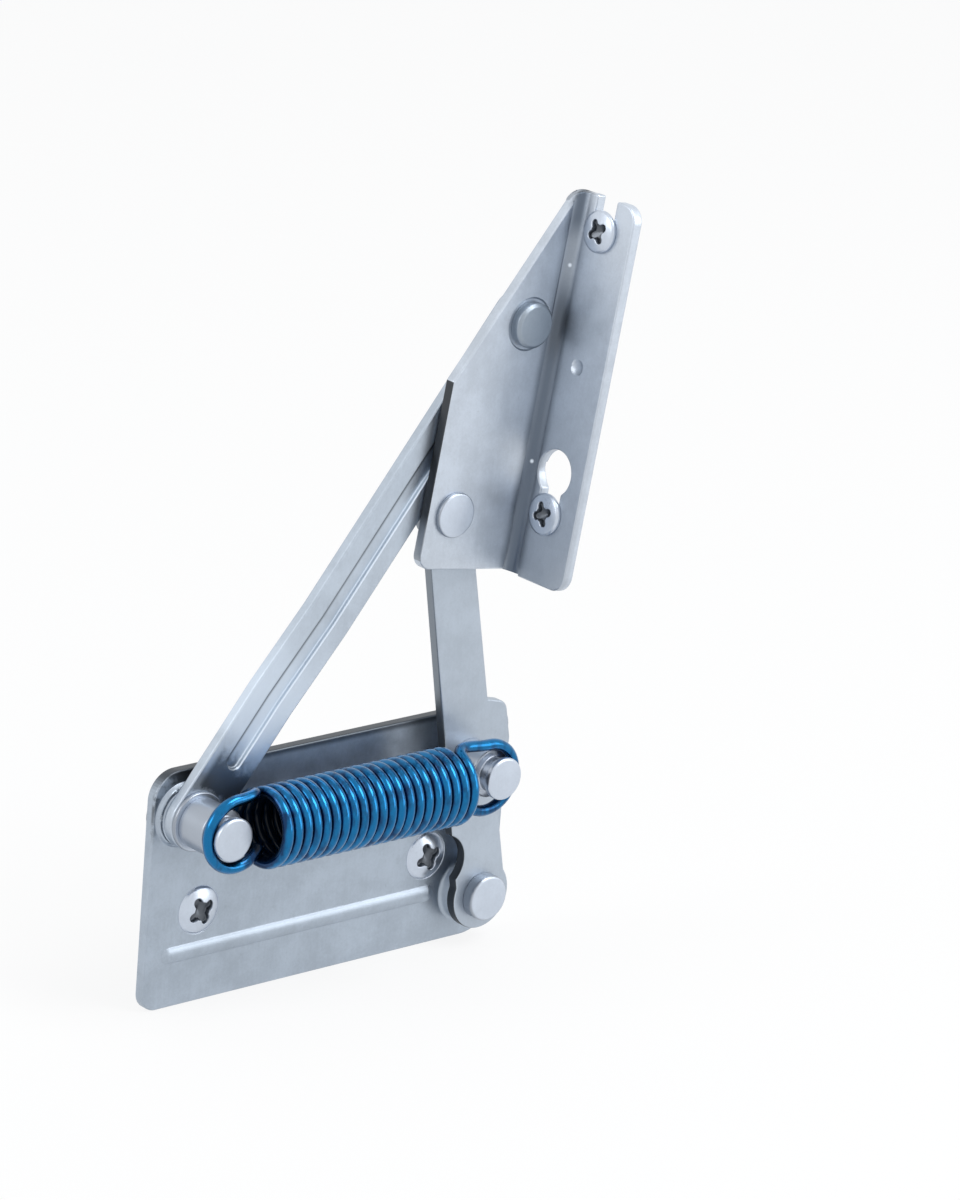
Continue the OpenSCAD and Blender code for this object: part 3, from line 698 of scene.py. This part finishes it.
def add_turned(name, node, body, material, profile, inner, outer):
    """Piece turned about its node's own axis. Its mark grows from 0 at radius inner to 1 at outer."""
    grid = turned(profile, middle(node))
    mark = smooth_step((profile[:, :1] - inner) / (outer - inner))
    mesh = surface_mesh(name, [grid], [np.broadcast_to(mark, grid.shape[:2])])
    even_shading(add_piece(name, mesh, material, node, body))


class HINGE_OT_posts(bpy.types.Operator):
    """Spring posts: turned pins, grooved for the spring's loops and riveted at the back"""

    bl_idname = "bench_hinge.posts"
    bl_label = "Spring Posts"

    def execute(self, context):
        steel = context.scene.hinge_steel
        # the posts' outer walls are darkened by their mark: painted shade
        zinc = plated_steel("post_zinc", steel, tuple(steel.bright), 0.33, 0.6, by_mark(0.6, 0.5))
        for name, node, body, deep in (("spring_post_turned", "spring_post", "base", 1.2),
                                       ("link_spring_post_turned", "link_spring_post", "link", 0.9)):
            back, front = high(node)[1], low(node)[1]
            root = low("arm_washer")[1] if body == "base" else low("short_link")[1]
            groove, shaft = front + POST_GROOVE[0], front + POST_GROOVE[1]
            profile = rounded([(0, back), (POST_TAIL_R, back), (POST_TAIL_R, back - deep),
                               (POST_SHANK_R, back - deep), (POST_SHANK_R, root), (POST_R, root),
                               (POST_R, shaft), (POST_NECK_R, shaft), (POST_NECK_R, groove),
                               (POST_HEAD_R, groove), (POST_HEAD_R, front), (0, front)],
                              [0.35, 0.1, 0.1, 0.1, 0.12, 0.35, 0.4, 0.4, 0.25, 0.42])
            add_turned(name, node, body, zinc, profile, POST_R - 0.6, POST_R - 0.1)
        return {"FINISHED"}


class HINGE_OT_rivets(bpy.types.Operator):
    """Pivot rivets and the washer in front of the arm"""

    bl_idname = "bench_hinge.rivets"
    bl_label = "Rivets and Washer"

    def execute(self, context):
        steel = context.scene.hinge_steel
        # the heads' and the washer's outer walls are darkened by their mark: painted shade
        bright = plated_steel("rivet_zinc", steel, tuple(steel.bright), 0.34, 0.6, by_mark(0.7, 0.4))
        # the upper rivet and its tail get a darker zinc: painted shade
        shaded_rivet_zinc = plated_steel("rivet_painted_shade", steel, tuple(steel.zinc_rivet_shade), 0.42, 0.8)

        def ends(node):
            return high(node)[1], low(node)[1]

        def tail(back, deep):
            return [(0, back), (TAIL_R, back), (TAIL_R, back - deep), (RIVET_R, back - deep)]

        def head(radius, seat, front):
            return [(RIVET_R, seat), (radius, seat), (radius, front), (0, front)]

        def rivet(name, node, body, material, corners, radii):
            profile = rounded(corners, radii)
            widest = np.max(profile[:, 0])
            add_turned(name, node, body, material, profile, widest - 0.3, widest - 0.1)

        back, front = ends("base_rivet")
        rivet("base_rivet_turned", "base_rivet", "base", bright,
              tail(back, BASE_TAIL) + head(BASE_RIVET_R, low("short_link")[1], front),
              [0.4, 0.1, 0.1, 0.1, 0.12, 0.5])
        back, front = ends("lower_lid_rivet")
        rivet("lower_lid_rivet_turned", "lower_lid_rivet", "link", bright,
              tail(back, STRIP_TAIL) + head(LID_RIVET_R, BRACKET_Y, front),
              [0.35, 0.1, 0.1, 0.1, 0.1, 0.38])
        back, front = ends("upper_lid_rivet")
        rivet("upper_lid_rivet_turned", "upper_lid_rivet", "lid", shaded_rivet_zinc,
              [(0, back), (RIVET_R, back), (RIVET_R, front + 2.0), (LID_RIVET_R, front + 2.0),
               (LID_RIVET_R, front + 0.5), (LID_RIVET_R - 0.55, front), (0, front)],
              [0.08, 0.1, 0.1, 0.3, 0.35])
        back, front = ends("upper_rivet_tail")
        rivet("upper_rivet_tail_turned", "upper_rivet_tail", "arm", shaded_rivet_zinc,
              tail(back, STRIP_TAIL) + [(RIVET_R, front), (0, front)], [0.35, 0.1, 0.1, 0.08])
        back, front = ends("arm_washer")
        rivet("arm_washer_turned", "arm_washer", "base", bright,
              [(4.0, back), (WASHER_R, back), (WASHER_R, front), (WASHER_BORE_R, front),
               (WASHER_BORE_R, back), (4.0, back)], [0.2, 0.3, 0.1, 0.1])
        return {"FINISHED"}


def cross_recess(x, z, wing, reach, depth, turn):
    """Depth of a cross recess at x, z: two bars of half width wing and half length reach, narrower
    outwards, and a round middle, with walls over 0.2 mm and a floor that rises outwards. The second
    grid is 1 inside the recess and 0 outside."""
    u, v = x * cos(turn) + z * sin(turn), z * cos(turn) - x * sin(turn)
    r = np.hypot(u, v)

    def bar(p, q):
        width = wing * (1.0 - 0.22 * np.clip(np.abs(p) / reach, 0, 1))
        return np.hypot(np.maximum(np.abs(p) - (reach - wing), 0.0), q) - width

    inside = -np.minimum(np.minimum(bar(u, v), bar(v, u)), r - 1.6 * wing)
    floor = depth * (1.0 - 0.62 * np.clip(r / reach, 0, 1))
    return floor * smooth_step(inside / 0.2), smooth_step(inside / 0.15)


def screw_grid(head, shank, settings, dome, side, neck, past, turn):
    """A screw along its own axis, at height h above the sheet's face: a domed head on a side, less
    its recess, then the corners of neck, and a shank of length past whose radius is
    shank - depth (1 - (1 - |2 frac(h / pitch - a / 2 pi) - 1|)^1.6), fading at both ends."""
    a = np.linspace(0.0, 2 * pi, 128, endpoint=False)
    rho = np.linspace(0.0, 1.0, 61)[:, None]
    ball = (head * head + dome * dome) / (2 * dome)
    r = head * rho
    x, z = r * np.cos(a), r * np.sin(a)
    rim = 0.10 * smooth_step((rho - 0.9) / 0.1)
    top = np.sqrt(ball ** 2 - r ** 2) - (ball - dome) + side - rim
    wing = settings.wing / MM * head / WING_HEAD_R
    sunk, inside = cross_recess(x, z, wing, 0.67 * head, settings.depth / MM, turn)
    top = top - sunk
    cap = np.stack([x, z, top], -1)
    under = rounded([(head, top[-1, 0])] + neck, 0.12, 3)
    below = np.stack([under[:, :1] * np.cos(a), under[:, :1] * np.sin(a), under[:, 1:] + 0 * a], -1)
    start = under[-1, 1]
    h = np.linspace(start, start - past, 57)[:, None]
    wave = np.abs(2 * np.mod(h / PITCH - a / (2 * pi), 1.0) - 1)
    fade = smooth_step((start - h) / 0.5) * smooth_step((h - start + past) / 0.4)
    thread = shank - THREAD * (1 - (1 - wave) ** 1.6 * fade)
    screw = np.stack([thread * np.cos(a), thread * np.sin(a), h + 0 * a], -1)
    tip = np.stack([0 * a, 0 * a, h[-1, 0] + 0 * a], -1)[None]
    grid = np.concatenate([cap, below[1:], screw, tip])
    return grid, np.concatenate([inside, np.zeros((len(grid) - len(cap), len(a)))])


def laid(grid, origin, x_axis, y_axis, z_axis):
    """A grid drawn about its own axes, laid at origin along the given axes."""
    return origin + grid[..., :1] * x_axis + grid[..., 1:2] * y_axis + grid[..., 2:] * z_axis


class HINGE_OT_screws(bpy.types.Operator):
    """Screws: two raised countersunk ones in the base plate, two round-headed ones in the flange"""

    bl_idname = "bench_hinge.screws"
    bl_label = "Screws"

    def execute(self, context):
        steel, settings = context.scene.hinge_steel, context.scene.hinge_screws
        # the recesses are darkened by their mark: painted shade
        zinc = plated_steel("screw_zinc", steel, tuple(steel.bright), 0.30, 0.7, by_mark(0.92, 0.13))

        def add(name, node, body, screws):
            grids, marks = zip(*[(laid(grid, *axes), inside) for (grid, inside), axes in screws])
            mesh = surface_mesh(name, grids, marks)
            even_shading(add_piece(name, mesh, zinc, node, body))

        sink = [(BASE_HEAD_R, 0.0), (BASE_SHANK_R, -SHEET)]
        add("base_screws_recessed", "base_screws", "base",
            [(screw_grid(BASE_HEAD_R, BASE_SHANK_R, settings, settings.dome / MM, 0.0, sink,
                         BASE_SHANK, turn),
              (x * EAST - SHEET * NORTH, EAST, UP, -NORTH))
             for x, turn in ((-BASE_SCREW_X, radians(29)), (BASE_SCREW_X, radians(22)))])
        seat = [(LID_HEAD_R, 0.0), (LID_NECK_R, 0.0), (LID_NECK_R, -SHEET - 0.02)]
        add("lid_screws_recessed", "lid_screws", "lid",
            [(screw_grid(LID_HEAD_R, LID_SHANK_R, settings, settings.lid_dome / MM, LID_SIDE, seat,
                         LID_SHANK, turn),
              (FLANGE_FACE - SHEET * OUT + w * ALONG + LID_LINE * NORTH, -NORTH, ALONG, -OUT))
             for w, turn in zip(LID_SCREW_UP, (radians(24), radians(33)))])
        return {"FINISHED"}


def spring_route(settings):
    """Middle of the wire, with x along the span from post to post and z up. The body is the helix
    (x0 + p t, R sin 2 pi t, R cos 2 pi t); a loop is (c + R cos a, 0, R sin a), and the cubic
    (1-s)^3 p + 3 (1-s)^2 s p' + 3 (1-s) s^2 q' + s^3 q joins each loop to the body. The second array
    is the outward direction; then come the two ends of the body."""
    wire, turns, bend = settings.wire / MM, settings.turns, settings.bend / MM
    span = hypot(POST_E[0] - PIVOT_A[0], POST_E[2] - PIVOT_A[2])
    coil = (SPRING_OUTER - wire) / 2
    x0, x1 = COIL_IN_A, span - COIL_IN_E
    pitch = (x1 - x0) / turns
    skip = asin(bend / coil)
    inset = coil - wire / 2 - POST_NECK_R - LOOP_GAP
    t = np.linspace(skip / (2 * pi), turns - skip / (2 * pi), 40 * turns)
    body = np.stack([x0 + pitch * t, coil * np.sin(2 * pi * t), coil * np.cos(2 * pi * t)], -1)
    body_out = np.stack([0 * t, np.sin(2 * pi * t), np.cos(2 * pi * t)], -1)

    def loop(centre, way):
        a = pi / 2 - way * settings.sweep * np.linspace(1.0, 0.0, 44)
        out = np.stack([np.cos(a), 0 * a, np.sin(a)], -1)
        return np.array([centre, 0.0, 0.0]) + coil * out, out

    s = np.linspace(0.0, 1.0, 12)[1:-1, None]

    def join(p, along_p, q, along_q):
        k = 0.45 * np.linalg.norm(q - p)
        return ((1 - s) ** 3 * p + 3 * (1 - s) ** 2 * s * (p + k * along_p)
                + 3 * (1 - s) * s ** 2 * (q - k * along_q) + s ** 3 * q)

    loop_a, out_a = loop(inset, -1.0)
    loop_e, out_e = loop(span - inset, 1.0)
    loop_e, out_e = loop_e[::-1], out_e[::-1]
    first, last = body[1] - body[0], body[-1] - body[-2]
    bend_a = join(loop_a[-1], EAST, body[0], first / np.linalg.norm(first))
    bend_e = join(body[-1], last / np.linalg.norm(last), loop_e[0], EAST)
    route = np.concatenate([loop_a, bend_a, body, bend_e, loop_e])
    out = np.concatenate([out_a, (1 - s) * out_a[-1] + s * body_out[0], body_out,
                          (1 - s) * body_out[-1] + s * out_e[0], out_e])
    return route, out, x0, x1


class HINGE_OT_tension_spring(bpy.types.Operator):
    """Tension spring: close-wound wire with an open loop at each end"""

    bl_idname = "bench_hinge.tension_spring"
    bl_label = "Tension Spring"

    def execute(self, context):
        settings = context.scene.hinge_spring
        route, out, x0, x1 = spring_route(settings)
        tilt = atan2(POST_E[2] - PIVOT_A[2], POST_E[0] - PIVOT_A[0])
        axes = (np.array([cos(tilt), 0.0, sin(tilt)]), NORTH, np.array([-sin(tilt), 0.0, cos(tilt)]))
        origin = np.array([PIVOT_A[0], GROOVE_Y, PIVOT_A[2]])
        wire, crest = swept(route, out, settings.wire / (2 * MM))
        past = np.maximum(x0 - wire[..., 0], wire[..., 0] - x1)
        # the loops take the crest's lit colour all round: a painted highlight
        crest = np.maximum(crest, smooth_step(past / 2.0) * (0.8 + 0.2 * crest))  # loops are bright
        mesh = surface_mesh("tension_spring_wound", [laid(wire, origin, *axes)], [crest])
        blue = blue_wire("spring_blue", settings)
        piece = add_piece("tension_spring_wound", mesh, blue, "tension_spring", None)
        start, end = origin + x0 * axes[0], origin + x1 * axes[0]
        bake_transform(piece, "base", "spring", start=tuple(start * MM), end=tuple(end * MM))
        return {"FINISHED"}


# ---------------------------------------------------------------- stage


def aim(obj, place, target):
    """Puts a lamp at place, looking at target."""
    obj.location = place
    obj.rotation_euler = (Vector(target) - Vector(place)).to_track_quat("-Z", "Y").to_euler()


class HINGE_OT_stage(bpy.types.Operator):
    """Stage: pale floor, soft lamps, white surroundings and the camera"""

    bl_idname = "bench_hinge.stage"
    bl_label = "Stage"

    def execute(self, context):
        scene, settings = context.scene, context.scene.hinge_stage
        scene.view_settings.view_transform = "Standard"

        world = bpy.data.worlds.new("studio")
        scene.world = world
        g = Graph(world)
        seen = self.seen(g)
        light = g.node("ShaderNodeBackground", None, {"Color": SKY, "Strength": settings.world})
        white = g.node("ShaderNodeBackground", None, {"Color": WHITE, "Strength": 1.0})
        g.node("ShaderNodeOutputWorld", None,
               {"Surface": g.node("ShaderNodeMixShader", None, {0: seen, 1: light, 2: white})})

        material = bpy.data.materials.new("pale_floor")
        g = Graph(material)
        tone = g.mix(g.noise(0.2, 2.0), tuple(settings.floor), tinted(tuple(settings.floor), 1.02))
        matt = g.node("ShaderNodeBsdfPrincipled", None, {"Base Color": tone, "Roughness": 0.9})
        glow = g.node("ShaderNodeEmission", None, {"Color": WHITE, "Strength": 1.0})
        share = self.seen(g) * 0.86  # the rest keeps a faint shadow under the hinge
        shader = g.node("ShaderNodeMixShader", None, {0: share, 1: matt, 2: glow})
        g.node("ShaderNodeOutputMaterial", None, {"Surface": shader})
        mesh = bpy.data.meshes.new("floor")
        reach, level = 4.0, (PLATE_LOW[2] - 0.05) * MM
        corners = [(x * reach, y * reach, level) for x, y in ((-1, -1), (1, -1), (1, 1), (-1, 1))]
        mesh.from_pydata(corners, [], [(0, 1, 2, 3)])
        mesh.materials.append(material)
        floor = bpy.data.objects.new("floor", mesh)
        scene.collection.objects.link(floor)

        for name, power, size, place in (("key_lamp", settings.key, 0.55, KEY_LAMP),
                                         ("fill_lamp", settings.fill, 0.6, FILL_LAMP),
                                         ("left_lamp", settings.fill, 0.5, LEFT_LAMP)):
            data = bpy.data.lights.new(name, "AREA")
            data.energy, data.size, data.shape = power, size, "SQUARE"
            lamp = bpy.data.objects.new(name, data)
            scene.collection.objects.link(lamp)
            aim(lamp, place, LAMP_TARGET)

        azimuth, elevation, roll = CAMERA_TURN
        back = Vector((sin(azimuth) * cos(elevation), -cos(azimuth) * cos(elevation), sin(elevation)))
        right = Vector((cos(azimuth), sin(azimuth), 0.0))
        up = back.cross(right)
        across = right * cos(roll) + up * sin(roll)
        upward = up * cos(roll) - right * sin(roll)
        data = bpy.data.cameras.new("photo_camera")
        data.lens, data.sensor_width, data.sensor_fit = CAMERA_LENS, SENSOR, "AUTO"
        data.clip_start, data.clip_end = 0.01, 50.0
        camera = bpy.data.objects.new("photo_camera", data)
        scene.collection.objects.link(camera)
        camera.matrix_world = (Matrix.Translation(CAMERA_AT)
                               @ Matrix((across, upward, back)).transposed().to_4x4())
        scene.camera = camera
        return {"FINISHED"}

    @staticmethod
    def seen(g):
        """1 for what the camera sees straight, in a mirror or through glass."""
        path = g.node("ShaderNodeLightPath", out="Is Camera Ray")
        outs = path.out.node.outputs
        return (path + Sock(g, outs["Is Glossy Ray"]) + Sock(g, outs["Is Transmission Ray"])).clamp()


# ---------------------------------------------------------------- panel and start


PIECES = (HINGE_OT_base_plate, HINGE_OT_long_arm, HINGE_OT_short_link, HINGE_OT_lid_bracket,
          HINGE_OT_posts, HINGE_OT_rivets, HINGE_OT_screws, HINGE_OT_tension_spring, HINGE_OT_stage)
GROUPS = {"hinge_steel": BenchHingeSteel, "hinge_spring": BenchHingeSpring,
          "hinge_screws": BenchHingeScrews, "hinge_stage": BenchHingeStage}


class HINGE_PT_panel(bpy.types.Panel):
    """Lists the hinge's pieces and their settings"""

    bl_label = "Bench Hinge"
    bl_idname = "HINGE_PT_panel"
    bl_space_type = "VIEW_3D"
    bl_region_type = "UI"
    bl_category = "Bench Hinge"

    def draw(self, context):
        column = self.layout.column()
        for piece in PIECES:
            column.operator(piece.bl_idname)
        for group in GROUPS:
            box = self.layout.box()
            settings = getattr(context.scene, group)
            for name in settings.__annotations__:
                box.prop(settings, name)


def register():
    for kind in (*GROUPS.values(), *PIECES, HINGE_PT_panel):
        bpy.utils.register_class(kind)
    for name, kind in GROUPS.items():
        setattr(bpy.types.Scene, name, PointerProperty(type=kind))


def unregister():
    for name in GROUPS:
        delattr(bpy.types.Scene, name)
    for kind in (HINGE_PT_panel, *reversed(PIECES), *GROUPS.values()):
        bpy.utils.unregister_class(kind)


def main():
    """Registers the add-on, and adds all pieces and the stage."""
    register()
    for piece in PIECES:
        call = getattr(bpy.ops.bench_hinge, piece.bl_idname.split(".")[1])
        if call() != {"FINISHED"}:
            raise RuntimeError(piece.bl_label + " did not finish")


if __name__ == "__main__":
    main()
